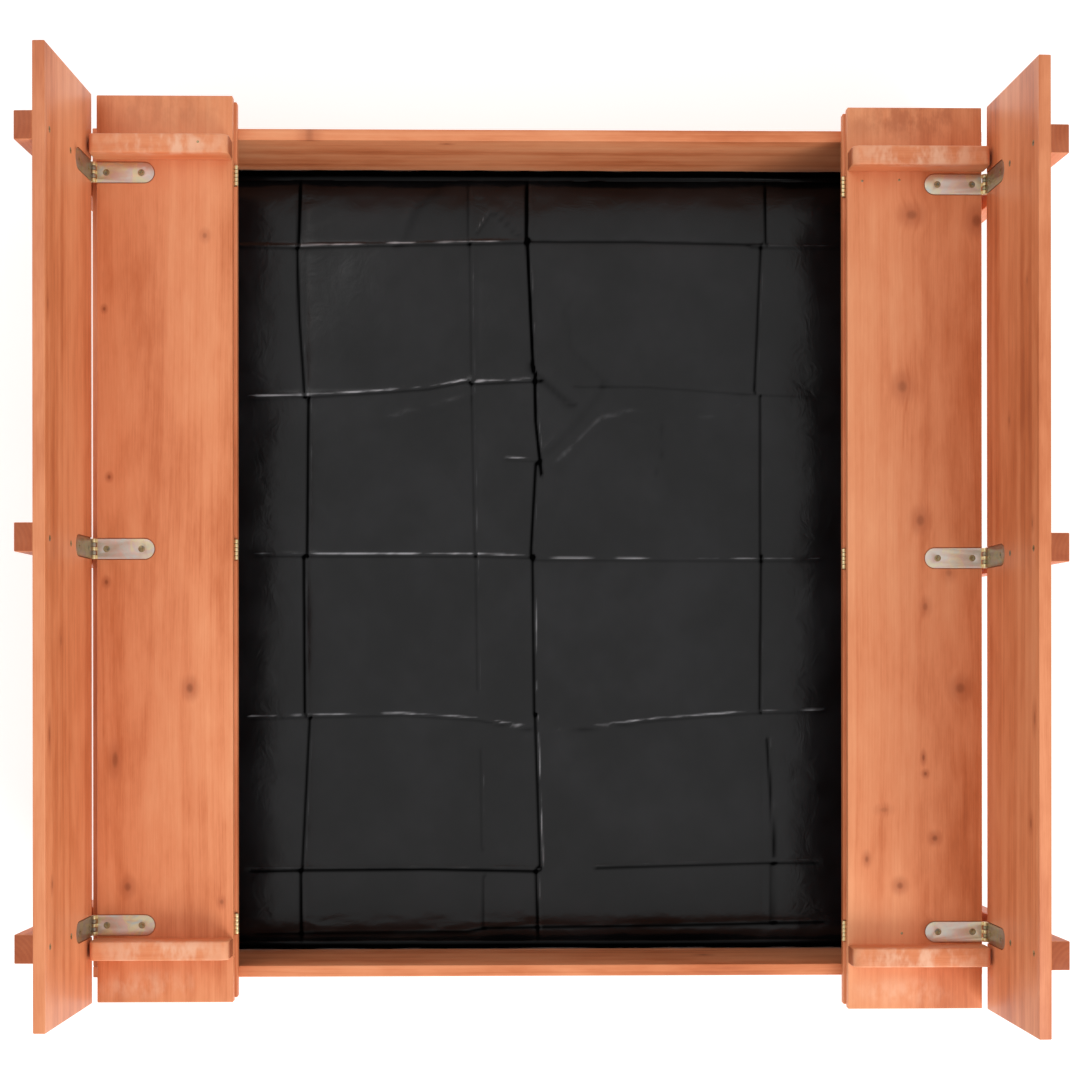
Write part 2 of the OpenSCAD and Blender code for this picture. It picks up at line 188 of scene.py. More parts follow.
def wood_group():
    """Stained softwood: growth rings round a pith line that runs along the group's Z."""
    group, t, source, sink = new_group(
        "stained_softwood", "ShaderNodeTree",
        {"Coordinate": "Vector", "Normal": "Vector", "Bend": "Float", "Tone": "Float"},
        {"Color": "Color", "Roughness": "Float", "Height": "Float"})
    at = source.outputs["Coordinate"]

    # the rings' radius wanders slowly along the board, and bends round the knots
    slow = t.streaky_noise(at, (5.0, 5.0, 1.1))
    wander = t.math("MULTIPLY", t.math("SUBTRACT", slow, 0.5), 30 * MM)
    split = t.add("ShaderNodeSeparateXYZ", {0: at})
    flat = t.add("ShaderNodeCombineXYZ", {0: split.outputs[0], 1: split.outputs[1], 2: 0.0}).outputs[0]
    radius = t.math("ADD", t.math("ADD", t.vector("LENGTH", flat), wander), source.outputs["Bend"])
    turn = t.math("ARCTAN2", split.outputs[1], split.outputs[0])

    def streaks(per_metre, along, detail, rough):
        """Noise that follows the rings: fine across them and drawn out along the board."""
        place = t.add("ShaderNodeCombineXYZ", {
            0: t.math("MULTIPLY", radius, per_metre), 1: t.math("MULTIPLY", turn, 1.5),
            2: t.math("MULTIPLY", split.outputs[2], along)}).outputs[0]
        return t.noise(place, 1.0, detail, rough)

    bands = streaks(62.0, 0.9, 2.0, 0.5)
    rings = streaks(230.0, 1.6, 3.0, 0.6)
    fibre = t.streaky_noise(at, (900.0, 900.0, 24.0), 3.0, 0.65)
    patch = t.streaky_noise(at, (12.0, 12.0, 4.5), 2.0, 0.55)
    mottle = t.streaky_noise(at, (70.0, 70.0, 22.0), 3.0, 0.6)
    wave = t.math("SINE", t.math("MULTIPLY", radius, 2 * math.pi / RING_PITCH))

    # how far each layer moves the tone
    tone = 0.5
    for layer, share in ((bands, 0.78), (rings, 0.40), (fibre, 0.32), (mottle, 0.44), (patch, 0.95)):
        tone = t.math("MULTIPLY_ADD", t.math("SUBTRACT", layer, 0.5), share, tone)
    tone = t.math("MULTIPLY_ADD", t.span(wave, 0.3, 1.0), LATE_WOOD_TONE, tone)
    tone = t.math("ADD", tone, source.outputs["Tone"])
    colour = t.ramp(tone, [(0.02, WOOD_DARK), (0.30, WOOD_DEEP), (0.56, WOOD_MID), (0.92, WOOD_LIGHT)])

    # faces cut across the grain drink more stain
    along = t.math("ABSOLUTE", t.vector("DOT_PRODUCT", source.outputs["Normal"], (0.0, 0.0, 1.0)))
    end_face = t.span(along, 0.75, 0.97)
    end_colour = t.mix(t.math("MULTIPLY", t.span(wave, -0.4, 0.9), 0.45), END_GRAIN, WOOD_DARK)
    colour = t.mix(t.math("MULTIPLY", end_face, END_STAIN), colour, end_colour)

    # rounded arrises are painted a little paler: partly rubbed wear, partly a painted highlight along the
    # edges
    pieces = t.add("ShaderNodeSeparateXYZ", {0: t.vector("ABSOLUTE", source.outputs["Normal"])})
    top = t.math("MAXIMUM", t.math("MAXIMUM", pieces.outputs[0], pieces.outputs[1]), pieces.outputs[2])
    rim = t.math("MULTIPLY", t.span(top, 0.97, 0.80), t.math("MULTIPLY_ADD", patch, 0.9, 0.05))
    colour = t.mix(t.math("MULTIPLY", rim, ARRIS_WEAR_AND_HIGHLIGHT, clamp=True), colour, WOOD_LIGHT)

    t.fill(sink, {
        "Color": colour,
        "Roughness": t.math("MULTIPLY_ADD", fibre, 0.16, 0.44),
        "Height": t.math("ADD", t.math("MULTIPLY", fibre, 0.6), t.math("MULTIPLY", rings, 0.8))})
    return group


GROUP = wood_group()

# Euler turns that bring a board's own grain to the group's Z
TURN = {"X": (0.0, -math.pi / 2, 0.0), "Y": (math.pi / 2, 0.0, 0.0), "Z": (0.0, 0.0, 0.0)}


def wood(name, grain, pith, tone=0.0, knots=(), scuffs_and_shade=(), flat="Z", shade_fade=None, coat=0.12):
    """A board's material. pith is where the tree's middle lies across the grain, in metres.
    knots are (point, width, length, depth) with the length along the grain;
    flat names the board's thin axis, which a knot runs through;
    scuffs_and_shade are (point, size, strength): pale scuffs, or, with a strength below zero, dark patches
    of painted shade;
    shade_fade is (point, step), a painted shade across the board, and the tone rises by one for each step
    away from the point."""
    material, t, shader = new_material(name)
    source = t.add("ShaderNodeTexCoord")
    at = source.outputs["Object"]
    turned, turned_normal = (
        t.add("ShaderNodeMapping", {"Vector": source.outputs[kind], "Rotation": TURN[grain]},
              vector_type="POINT").outputs[0] for kind in ("Object", "Normal"))

    # the dark core of a knot, the ring of stain round it, and how far it bends the grain
    bend, core, halo = 0.0, 0.0, 0.0
    for point, width, length, depth in knots:
        scale = [1 / width] * 3
        scale["XYZ".index(grain)] = 1 / length
        scale["XYZ".index(flat)] = 0.0
        away = t.vector("LENGTH", t.vector("MULTIPLY", t.vector("SUBTRACT", at, point), scale))
        core = t.math("MAXIMUM", core, t.span(away, 1.15, 0.3, 0.0, 0.85 * depth))
        halo = t.math("MAXIMUM", halo, t.span(away, 3.2, 0.7, 0.0, 0.72 * depth))
        bend = t.math("ADD", bend, t.span(away, 4.5, 0.0, 0.0, width * 0.45))
    # painted shade: the tone changes steadily across the board
    if shade_fade:
        point, step = shade_fade
        tone = t.math("ADD", t.vector("DOT_PRODUCT", t.vector("SUBTRACT", at, point), step), tone)

    grain_node = t.add("ShaderNodeGroup", {
        "Coordinate": t.vector("SUBTRACT", turned, pith), "Normal": turned_normal,
        "Bend": bend, "Tone": tone}, node_tree=GROUP)
    colour = grain_node.outputs["Color"]
    if knots:
        speckle = t.streaky_noise(at, (900.0, 900.0, 900.0))
        colour = t.mix(halo, colour, WOOD_DARK)
        core = t.math("MULTIPLY", core, t.math("MULTIPLY_ADD", speckle, 0.5, 0.6), clamp=True)
        colour = t.mix(core, colour, KNOT)
    # pale patches are scuffs; dark patches are painted shade
    for point, size, strength in scuffs_and_shade:
        off = t.vector("MULTIPLY", t.vector("SUBTRACT", at, point), [1 / s for s in size])
        worn = t.span(t.vector("LENGTH", off), 1.0, 0.1)
        speck = t.span(t.streaky_noise(at, (70.0, 34.0, 70.0), 3.0, 0.6), 0.38, 0.68)
        colour = t.mix(t.math("MULTIPLY", t.math("MULTIPLY", worn, speck), abs(strength)), colour,
                       SCUFF if strength > 0 else WOOD_DARK)

    t.fill(shader, {"Base Color": colour, "Roughness": grain_node.outputs["Roughness"],
                    "Specular IOR Level": 0.30, "Coat Weight": coat, "Coat Roughness": 0.38,
                    "Normal": t.bump(grain_node.outputs["Height"], 0.35, 0.4 * MM)})
    return material


# ---------------------------------------------------------------- metal

OLIVE_FILM = srgb(120, 108, 74)
PALE_FILM_AND_SHEEN = srgb(252, 250, 240)
PIN_GOLD = srgb(244, 220, 150)
OLD_STEEL = srgb(52, 40, 26)
PIN_RADIUS = 3.4 * MM
PIN_FADE = 4.6 * MM


def zinc(name, warm, pin=None, dark=0.0, pale=0.0):
    """Yellow-passivated zinc: pinkish grey with pale gold and blue-green films, or darker olive.
    Near the pin's line it is more golden."""
    material, t, shader = new_material(name)
    at = t.place()
    film = t.noise(at, 46.0, 3.0, 0.6, 0.6)
    cloud = t.noise(t.vector("ADD", at, (3.1, 1.7, 0.4)), 95.0, 2.0, 0.5, 0.3)
    colour = t.ramp(film, [(0.30, srgb(196, 208, 204)), (0.42, srgb(206, 196, 186)),
                           (0.50, srgb(216, 190, 180)), (0.58, srgb(222, 208, 160)),
                           (0.70, srgb(186, 200, 196))])
    colour = t.mix(t.math("MULTIPLY", t.span(cloud, 0.45, 0.75), 0.4), colour, srgb(*warm))
    colour = t.mix(dark, colour, OLIVE_FILM)
    # pale film, and a painted sheen where the leaf would catch the light
    colour = t.mix(pale, colour, PALE_FILM_AND_SHEEN)
    if pin is not None:
        off = t.vector("MULTIPLY", t.vector("SUBTRACT", at, pin), (1.0, 0.0, 1.0))
        near = t.span(t.vector("LENGTH", off), PIN_FADE, PIN_RADIUS)
        colour = t.mix(t.math("MULTIPLY", near, 0.7), colour, PIN_GOLD)
    scratch = t.streaky_noise(at, (300.0, 2400.0, 300.0), 3.0, 0.6)
    t.fill(shader, {"Base Color": colour, "Metallic": 0.82,
                    "Roughness": t.math("MULTIPLY_ADD", scratch, 0.22, 0.26),
                    "Normal": t.bump(scratch, 0.12, 0.2 * MM)})
    return material


def screw_metal(name, bright=1.0):
    """Brass-tinted zinc of the screws; a lower brightness makes the darker steel of the pins."""
    material, t, shader = new_material(name)
    film = t.noise(t.place(), 160.0, 2.0, 0.5)
    colour = t.ramp(film, [(0.35, srgb(150, 132, 98)), (0.5, srgb(176, 160, 118)),
                           (0.65, srgb(140, 140, 126))])
    t.fill(shader, {"Base Color": t.mix(1.0 - bright, colour, OLD_STEEL), "Metallic": 0.85,
                    "Roughness": t.span(film, 0.3, 0.7, 0.30, 0.46)})
    return material


# ---------------------------------------------------------------- liner

FILM_DARK = srgb(11, 11, 12)
FILM_DUSTY = srgb(25, 25, 27)
FOLD_HIGHLIGHT = srgb(168, 168, 172)
BLACK = (0.0, 0.0, 0.0, 1.0)


def liner_material():
    """Black film, reading the sheet's painted_light_and_shade: above zero a painted highlight, below zero
    painted shade.
    """
    material, t, shader = new_material("black_liner")
    at = t.place()
    weave = t.streaky_noise(at, (900.0, 900.0, 900.0))
    crumple = t.noise(at, 38.0, 4.0, 0.6, 0.8)
    dust = t.noise(at, 9.0, 4.0, 0.62)
    fold = t.add("ShaderNodeAttribute", attribute_name="painted_light_and_shade", attribute_type="GEOMETRY").outputs["Fac"]
    colour = t.mix(t.span(dust, 0.35, 0.75), FILM_DARK, FILM_DUSTY)
    # painted highlight on the folds' crests, where the mark is above zero
    colour = t.mix(t.span(fold, 0.02, 1.0), colour, FOLD_HIGHLIGHT)
    # painted shade where the mark is below zero: darker colour and weaker reflection
    light = t.span(fold, -0.9, 0.0, 0.03, 1.0)
    height = t.math("ADD", crumple, t.math("MULTIPLY", weave, 0.06))
    t.fill(shader, {"Base Color": t.mix(light, BLACK, colour),
                    "Specular IOR Level": t.math("MULTIPLY", light, 0.39),
                    "Roughness": t.math("MULTIPLY_ADD", dust, 0.12, 0.17),
                    "Normal": t.bump(height, 0.22, 2 * MM)})
    return material


# Fold lines of the liner as shares of its width and depth:
# (points, height, spread on the first side, spread on the other side), the last three in mm.
# A height below zero is a valley. Only a share of each height is modelled, ACROSS_RISE for a fold
# that lies across the box and ALONG_RISE for the others; the whole height sets how strong its painted
# highlight and shade are.
FOLDS = [
    ([(0.129, 0.907), (0.208, 0.907), (0.322, 0.910), (0.488, 0.914)], 3.4, 3.0, 7.0),
    ([(0.495, 0.916), (0.623, 0.916), (0.771, 0.913)], -2.4, 4.0, 8.0),
    ([(0.765, 0.909), (0.867, 0.908)], 2.6, 4.0, 4.0),
    ([(0.150, 0.712), (0.220, 0.714), (0.303, 0.719), (0.364, 0.724), (0.420, 0.735)], 3.6, 4.0, 5.0),
    ([(0.420, 0.731), (0.503, 0.735)], 4.2, 3.0, 4.0),
    ([(0.500, 0.751), (0.543, 0.710)], -3.0, 5.0, 5.0),
    ([(0.549, 0.728), (0.635, 0.728), (0.765, 0.718), (0.857, 0.715)], -1.3, 6.0, 7.0),
    ([(0.294, 0.679), (0.352, 0.694), (0.414, 0.713)], 1.4, 4.0, 6.0),
    ([(0.156, 0.508), (0.426, 0.508), (0.495, 0.506)], 3.4, 3.0, 4.5),
    ([(0.499, 0.503), (0.764, 0.502), (0.848, 0.502)], 2.7, 3.0, 4.0),
    ([(0.149, 0.298), (0.229, 0.300), (0.333, 0.302), (0.425, 0.296), (0.490, 0.284)], 2.8, 3.5, 4.5),
    ([(0.524, 0.280), (0.647, 0.295), (0.764, 0.304), (0.854, 0.306)], 2.8, 3.5, 4.5),
    ([(0.149, 0.101), (0.210, 0.102), (0.364, 0.103), (0.500, 0.100)], -3.4, 4.0, 7.0),
    ([(0.573, 0.104), (0.783, 0.110), (0.844, 0.110)], -2.6, 4.0, 6.0),
    ([(0.155, 0.019), (0.229, 0.021), (0.413, 0.022), (0.437, 0.027), (0.671, 0.030), (0.851, 0.033)],
     -2.6, 4.0, 6.0),
    ([(0.213, 1.000), (0.210, 0.909)], -3.2, 5.0, 4.0),
    ([(0.208, 0.902), (0.211, 0.810), (0.217, 0.714)], -3.0, 5.0, 4.0),
    ([(0.222, 0.707), (0.220, 0.508)], -3.2, 5.0, 4.0),
    ([(0.216, 0.503), (0.217, 0.303)], -3.2, 5.0, 4.0),
    ([(0.223, 0.294), (0.214, 0.106)], -2.8, 5.0, 4.0),
    ([(0.212, 0.098), (0.213, 0.001)], -2.8, 5.0, 4.0),
    ([(0.418, 1.000), (0.418, 0.914)], 1.4, 3.0, 3.5),
    ([(0.420, 0.908), (0.422, 0.740)], 1.7, 3.0, 3.5),
    ([(0.422, 0.727), (0.426, 0.510)], 1.8, 3.0, 3.5),
    ([(0.427, 0.507), (0.429, 0.332)], 1.5, 3.0, 3.5),
    ([(0.433, 0.254), (0.434, 0.128)], 1.4, 3.0, 3.5),
    ([(0.436, 0.089), (0.436, 0.027)], 1.6, 3.0, 3.5),
    ([(0.491, 1.000), (0.490, 0.916)], -3.4, 6.0, 4.0),
    ([(0.491, 0.913), (0.498, 0.750)], -4.2, 8.0, 3.5),
    ([(0.500, 0.737), (0.501, 0.682), (0.508, 0.612)], -3.8, 6.0, 3.5),
    ([(0.501, 0.623), (0.495, 0.508)], -3.2, 5.0, 4.0),
    ([(0.497, 0.503), (0.499, 0.303)], 4.0, 4.0, 5.0),
    ([(0.500, 0.298), (0.506, 0.104)], 4.0, 4.0, 5.0),
    ([(0.501, 0.099), (0.504, 0.000)], 3.4, 3.0, 4.5),
    ([(0.784, 1.000), (0.785, 0.913)], -2.4, 4.0, 5.0),
    ([(0.779, 0.908), (0.771, 0.721)], -2.4, 4.0, 4.0),
    ([(0.778, 0.711), (0.778, 0.507)], -2.2, 4.0, 4.0),
    ([(0.779, 0.503), (0.777, 0.306)], -2.4, 4.0, 4.0),
    ([(0.786, 0.267), (0.795, 0.117)], -2.4, 4.0, 4.0),
    ([(0.792, 0.103), (0.792, 0.033)], -2.4, 4.0, 4.0),
    ([(0.512, 0.649), (0.549, 0.691), (0.572, 0.722)], 1.7, 6.0, 6.0),
    ([(0.521, 0.623), (0.577, 0.682), (0.610, 0.692), (0.641, 0.688)], 1.5, 8.0, 6.0),
    ([(0.543, 0.824), (0.549, 0.779), (0.586, 0.740)], -1.2, 9.0, 9.0),
    ([(0.771, 0.716), (0.721, 0.688), (0.647, 0.682)], 1.0, 8.0, 8.0),
    ([(0.654, 0.688), (0.660, 0.649), (0.647, 0.604)], -0.9, 8.0, 8.0),
    ([(0.463, 0.633), (0.503, 0.631)], 2.2, 3.0, 4.0),
    ([(0.328, 0.914), (0.346, 0.960), (0.371, 0.979)], 1.6, 6.0, 8.0),
    ([(0.426, 0.927), (0.445, 0.960), (0.475, 0.924)], 1.8, 6.0, 8.0),
]
ACROSS_RISE = 0.32
ALONG_RISE = 0.18
FULL_MARK_HEIGHT = 3.4  # mm, the listed height of a fold with a full mark
# How strong the painted highlight line and the painted shade of the dip are, by whether a fold lies across
# and stands up
FOLD_LOOK = {(True, True): (0.85, 0.45), (True, False): (0.30, 0.80),
             (False, True): (0.50, 0.70), (False, False): (0.30, 0.95)}
HIGHLIGHT_LINE = (0.4 * MM, 1.3 * MM)  # place beside the fold and half width of the painted highlight line
SHADE_DIP = (-2.6 * MM, 2.1 * MM)
SLANT_SPREAD = 2.8  # a slanted fold is softer than one along the sheet,
SLANT_MARK = 0.5    # and its mark is weaker

# The grid of folds that divides the sheet into panels, as shares of its width and depth
FOLD_X = [0.0, 0.217, 0.427, 0.499, 0.778, 1.0]
FOLD_Y = [0.0, 0.102, 0.300, 0.505, 0.722, 0.912, 1.0]
SHORT_FOLDS_Y = [0.028, 0.632]
PUFF = [2.4, 1.2, 3.0, 0.8, 2.0, 1.5, 2.8]  # how far the panels stand up, in mm

SHEET_THICKNESS = 0.5 * MM
FINE_STEP = 1.9 * MM
WIDE_STEP = 6.2 * MM
FINE_REACH = 9 * MM    # the mesh is fine this near to a fold,
WIDE_REACH = 18 * MM   # and wide from here on
LINER_BASE = 3.0 * MM
LINER_LOW = 0.6 * MM
WALL_BEND = 7 * MM
CORNER_BEND = 24 * MM
FLAT_REACH = 20 * MM   # the relief starts at the walls' foot and is full from here on
TURNED_SHARE = 0.9     # the turned-up strip, as a share of the liner's height
LIP_DROP = 0.08        # how far the strip stays short of that, as a share of the same height
LIP_SWAY = 0.06        # how far its edge goes up and down, as a share of the strip
LIP_WAVE = 0.8 * MM    # how far it waves away from the wall
WALL_CLEAR = 0.8 * MM
LIP_CLEAR = 1.0 * MM

# How high the film swells all over, and crumples by the side boards and by the rails
SWELL = 1.1 * MM
SIDE_CRUMPLE = 3.4 * MM
END_CRUMPLE = 1.2 * MM

# Where the film lies in shade: how far the shade reaches, and how strong it is
BENCH_SHADE = (130 * MM, 0.6)
RAIL_SHADE = (100 * MM, 0.3)
BEND_SHADE = 0.3
LIP_SHADE = 0.8


def fbm(x, y, scale, seed, octaves=3):
    """Layered noise at flat points."""
    return np.array([noise.fractal(Vector((px * scale, py * scale, seed)), 1.0, 2.0, octaves)
                     for px, py in zip(x, y)])


def rise(value, start, length):
    """Zero before start and one after start + length."""
    return np.clip((value - start) / length, 0, 1)


def grid_line(length, turned, shares):
    """Places along one side of the liner, close together near its folds and its edges."""
    folds = [length * (share - 0.5) for share in shares]
    places = [-length / 2 - turned]
    while places[-1] < length / 2 + turned:
        near = min(abs(places[-1] - fold) for fold in folds)
        places.append(places[-1] + np.interp(near, (FINE_REACH, WIDE_REACH), (FINE_STEP, WIDE_STEP)))
    share = (np.array(places) - places[0]) / (places[-1] - places[0])
    return (share - 0.5) * (length + 2 * turned)


def beside_line(x, y, line):
    """How far points lie from a line of straight stretches, and on which side of it."""
    best, side = np.full(len(x), np.inf), np.zeros(len(x))
    for start, end in zip(line[:-1], line[1:]):
        step = end - start
        share = np.clip(((x - start[0]) * step[0] + (y - start[1]) * step[1]) / (step @ step), 0, 1)
        dx, dy = x - start[0] - share * step[0], y - start[1] - share * step[1]
        away = np.hypot(dx, dy)
        nearer = away < best
        side = np.where(nearer, np.sign(step[0] * dy - step[1] * dx), side)
        best = np.where(nearer, away, best)
    return best, side


def fold_height(x, y, width, depth):
    """Height and mark of the folds at flat points, in metres from the liner's front left corner.
    The mark is a painted highlight above zero on a fold's pale line, and painted shade below zero in the dip
    beside it."""
    total, mark = np.zeros_like(x), np.zeros_like(x)
    broken = np.clip(0.62 + 1.3 * fbm(x, y, 31.0, 12.0), 0.12, 1.15)
    jitter = 1 + 0.45 * fbm(x, y, 22.0, 5.0, 2)
    for points, height, first, other in FOLDS:
        line = np.array(points) * (width, depth)
        run_x, run_y = np.abs(line[-1] - line[0])
        across = run_x > run_y
        slanted = min(run_x, run_y) > 0.2 * max(run_x, run_y)
        away, side = beside_line(x, y, line)

        spread = np.where(side > 0, first, other) * MM
        shape = np.exp(-(away / spread) ** 1.25)
        total += height * MM * (ACROSS_RISE if across else ALONG_RISE) * shape * jitter

        signed = away * side / (SLANT_SPREAD if slanted else 1)
        strength = min(abs(height) / FULL_MARK_HEIGHT, 1.2) * (SLANT_MARK if slanted else 1)
        pale_share, dip_share = FOLD_LOOK[across, height > 0]
        pale, dip = (np.exp(-((signed - place) / half) ** 2) for place, half in (HIGHLIGHT_LINE, SHADE_DIP))
        mark += strength * (pale * broken * pale_share - dip * dip_share)
    return total, mark


def panel_height(x, y, width, depth):
    """The soft rise of each panel between the folds."""
    total = np.zeros_like(x)
    u, v = x / width, y / depth
    for i in range(len(FOLD_X) - 1):
        for j in range(len(FOLD_Y) - 1):
            pu = (u - FOLD_X[i]) / (FOLD_X[i + 1] - FOLD_X[i])
            pv = (v - FOLD_Y[j]) / (FOLD_Y[j + 1] - FOLD_Y[j])
            inside = (pu > 0) & (pu < 1) & (pv > 0) & (pv < 1)
            dome = np.sin(math.pi * np.clip(pu, 0, 1)) * np.sin(math.pi * np.clip(pv, 0, 1))
            total += np.where(inside, PUFF[(3 * i + 5 * j) % len(PUFF)] * MM * dome ** 0.7, 0)
    return total


def crumple_height(x, y, width, depth):
    """Slow swells all over, and crumples by the side boards and the rails."""
    to_side, to_end = np.abs(x - width / 2) / (width / 2), np.abs(y - depth / 2) / (depth / 2)
    by_side = 1 - np.abs(fbm(x * 1.7, y * 0.8, 26.0, 7.0, 4))
    by_end = 1 - np.abs(fbm(x * 0.8, y * 1.6, 24.0, 3.0))
    return (SWELL * fbm(x, y, 9.0, 2.0)
            + rise(to_side, 0.70, 0.18) * SIDE_CRUMPLE * (by_side - 0.75)
            + rise(to_end, 0.86, 0.10) * END_CRUMPLE * (by_end - 0.75))


def turn_up(flat_x, flat_y, half_w, half_d, lip):
    """Bends the flat sheet's rim up inside the walls, whose plan is a rounded rectangle round zero.
    Gives the points' places in plan, how far they lean off the wall along x and y, their rise,
    and how far past the walls' foot they were."""
    past_x = np.abs(flat_x) - (half_w - CORNER_BEND)
    past_y = np.abs(flat_y) - (half_d - CORNER_BEND)
    out_x, out_y = np.maximum(past_x, 0), np.maximum(past_y, 0)
    past = np.hypot(out_x, out_y) + np.minimum(np.maximum(past_x, past_y), 0) - CORNER_BEND
    length = np.maximum(np.hypot(out_x, out_y), 1e-9)
    out_x, out_y = np.sign(flat_x) * out_x / length, np.sign(flat_y) * out_y / length

    half_arc = WALL_BEND * math.pi / 4
    turned = TURNED_SHARE * lip
    top = turned * (1 + LIP_SWAY * fbm(flat_x, flat_y, 14.0, 9.0, 2)) - LIP_DROP * lip
    reach = np.minimum(past, top)
    angle = np.clip((reach + half_arc) / WALL_BEND, 0, math.pi / 2)
    in_arc = reach > -half_arc
    up = np.where(in_arc, WALL_BEND * (1 - np.cos(angle)), 0) + np.maximum(reach - half_arc, 0)
    in_rim = past > -half_arc
    moved = np.where(in_arc, -WALL_BEND + WALL_BEND * np.sin(angle), past) - past
    moved = np.where(in_rim, moved, 0)

    # the turned-up edge leans off the wall in soft waves
    sway = 0.5 + 0.5 * np.sin(fbm(flat_x, flat_y, 10.0, 4.0, 2) * 9)
    lean = np.where(in_rim, WALL_CLEAR + rise(up, 0, 0.5 * lip) * LIP_WAVE * sway, 0)
    return flat_x + out_x * moved, flat_y + out_y * moved, out_x * lean, out_y * lean, up, past


def liner_mesh(points, marks, columns, rows):
    """One sheet of quads with the marks on its points; points that fall together are joined."""
    mesh = bpy.data.meshes.new("liner_sheet")
    faces = [(r * columns + c, r * columns + c + 1, (r + 1) * columns + c + 1, (r + 1) * columns + c)
             for r in range(rows - 1) for c in range(columns - 1)]
    mesh.from_pydata(points.tolist(), [], faces)
    mesh.attributes.new("painted_light_and_shade", "FLOAT", "POINT").data.foreach_set("value", marks)
    bm = bmesh.new()
    bm.from_mesh(mesh)
    bmesh.ops.remove_doubles(bm, verts=bm.verts, dist=0.6 * MM)
    bmesh.ops.dissolve_degenerate(bm, edges=bm.edges, dist=0.3 * MM)
    bmesh.ops.recalc_face_normals(bm, faces=bm.faces)
    if sum(face.normal.z for face in bm.faces) < 0:
        bmesh.ops.reverse_faces(bm, faces=bm.faces)
    bm.to_mesh(mesh)
    bm.free()
    mesh.shade_smooth()
    return mesh


def make_liner():
    """The liner as one sheet laid in the box: a creased floor and a rim turned up at the walls."""
    lo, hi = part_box("ground_liner")
    width, depth, lip = hi.x - lo.x, hi.y - lo.y, hi.z - lo.z
    half_w, half_d = width / 2, depth / 2
    turned = TURNED_SHARE * lip
    columns = grid_line(width, turned, FOLD_X)
    rows = grid_line(depth, turned, FOLD_Y + SHORT_FOLDS_Y)
    flat_x, flat_y = (grid.ravel() for grid in np.meshgrid(columns, rows))
    x, y, lean_x, lean_y, up, past = turn_up(flat_x, flat_y, half_w, half_d, lip)

    flat_share = rise(-past, 0, FLAT_REACH)
    flat_share = flat_share ** 2 * (3 - 2 * flat_share)
    from_left, from_front = x + half_w, y + half_d
    height, mark = fold_height(from_left, from_front, width, depth)
    height += panel_height(from_left, from_front, width, depth)
    height += crumple_height(from_left, from_front, width, depth)
    height = np.maximum(LINER_BASE + height, LINER_LOW) * flat_share + LINER_LOW * (1 - flat_share)
    z = np.minimum(lo.z + height + up, hi.z - LIP_CLEAR)
    middle_x, middle_y = (lo.x + hi.x) / 2, (lo.y + hi.y) / 2
    points = np.stack([x - lean_x + middle_x, y - lean_y + middle_y, z], axis=1)

    # the film lies in shade under the benches, beside the rails and where it turns up
    mark = mark * flat_share - BEND_SHADE * (1 - flat_share) ** 2 - LIP_SHADE * rise(up, 0, 0.6 * lip)
    for half, flat, (reach, strength) in ((half_w, flat_x, BENCH_SHADE), (half_d, flat_y, RAIL_SHADE)):
        mark -= strength * (1 - rise(half - np.abs(flat), 0, reach))

    piece = add_object("liner_sheet", liner_mesh(points, mark, len(columns), len(rows)))
    piece.data.materials.append(liner_material())
    add_modifier(piece, "thickness", "SOLIDIFY", thickness=SHEET_THICKNESS, offset=-1.0)
    add_modifier(piece, "shade", "NODES", node_group=SHADE)
    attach(piece, "box")
    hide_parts("ground_liner")


# ---------------------------------------------------------------- rounded arrises

ON_BOX = 0.02 * MM       # a point this near to the board's own box lies on its outside
WELD_DISTANCE = 0.01 * MM
FLAT_ANGLE = math.radians(0.6)
BEVEL_ANGLE = math.radians(35)
SMOOTH_ANGLE = math.radians(32)


def socket_of(sockets, name, kind):
    """A socket by name and type, where a node has one for each type."""
    return next(socket for socket in sockets if socket.name == name and socket.type == kind)


def arris_group():
    """Marks a board's outer long edges, and not the rims of its holes and pockets, for the bevel."""
    group, t, source, sink = new_group("mark_arrises", "GeometryNodeTree",
                                       {"Geometry": "Geometry", "Tilt": "Float"}, {"Geometry": "Geometry"})
    board = source.outputs[0]
    place = t.add("ShaderNodeVectorRotate", {
        "Vector": t.add("GeometryNodeInputPosition").outputs[0], "Axis": (0, 1, 0),
        "Angle": source.outputs["Tilt"]}, rotation_type="AXIS_ANGLE").outputs[0]
    ends = t.add("GeometryNodeAttributeStatistic", {"Geometry": board},
                 data_type="FLOAT_VECTOR", domain="POINT")
    t.tree.links.new(place, socket_of(ends.inputs, "Attribute", "VECTOR"))
    low, high = (socket_of(ends.outputs, name, "VECTOR") for name in ("Min", "Max"))
    places, lows, highs = (t.add("ShaderNodeSeparateXYZ", {0: v}).outputs for v in (place, low, high))

    # an outer edge's points lie on the board's own box along two axes
    count = 0.0
    for here, *limits in zip(places, lows, highs):
        at_low, at_high = (
            t.math("LESS_THAN", t.math("ABSOLUTE", t.math("SUBTRACT", here, limit)), ON_BOX)
            for limit in limits)
        count = t.math("ADD", count, t.math("MAXIMUM", at_low, at_high))
    store = t.add("GeometryNodeStoreNamedAttribute", {"Geometry": board, "Name": "bevel_weight_edge"},
                  data_type="FLOAT", domain="EDGE")
    t.tree.links.new(t.math("GREATER_THAN", count, 1.5), socket_of(store.inputs, "Value", "VALUE"))
    t.fill(sink, {0: store.outputs[0]})
    return group


